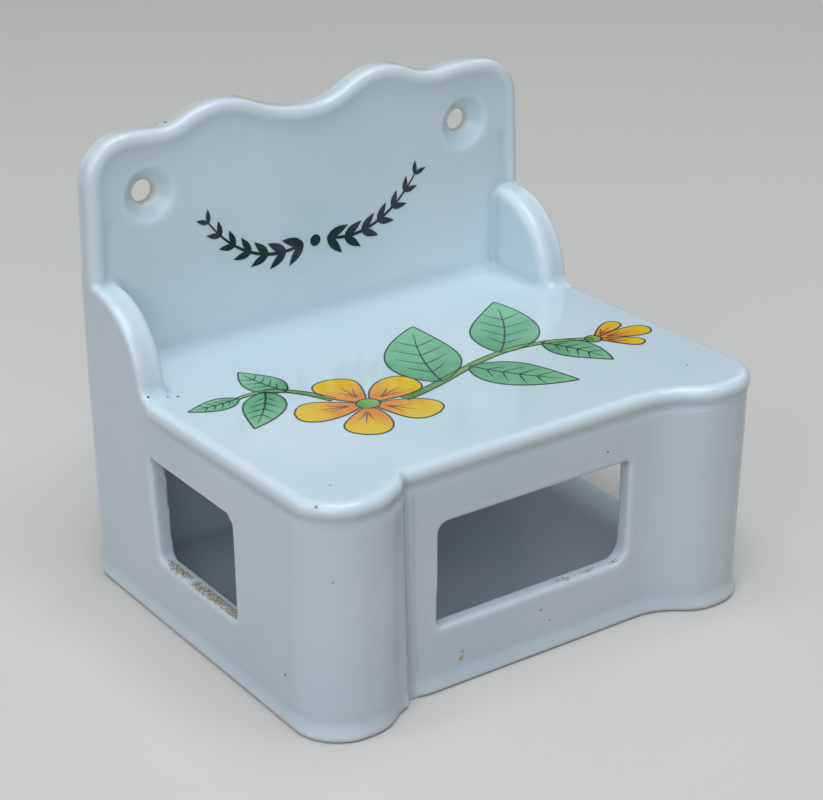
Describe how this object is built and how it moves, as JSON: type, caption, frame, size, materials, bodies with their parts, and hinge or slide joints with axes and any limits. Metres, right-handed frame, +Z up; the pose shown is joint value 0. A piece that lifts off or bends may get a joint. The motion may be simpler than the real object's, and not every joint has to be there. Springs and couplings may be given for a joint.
{
  "type": "matchbox holder",
  "caption": "Wall-hung glazed porcelain matchbox holder: box with lobed corners, windows, a rolled-edge shelf, a scalloped back plate with countersunk holes and rounded cheeks.",
  "frame": {"origin": "under the middle of the object, on the plane it stands on", "axes": "+X to the right as the user faces it, +Y towards the wall, +Z up"},
  "size_m": [0.1258, 0.1037, 0.1164],
  "materials": {
    "porcelain": "glossy bluish-white glaze"
  },
  "bodies": {
    "root": {"back_plate": "porcelain", "floor_plate": "porcelain", "front_wall": "porcelain", "left_wall": "porcelain", "right_wall": "porcelain", "shelf": "porcelain", "left_cheek": "porcelain", "right_cheek": "porcelain"}
  },
  "joints": []
}
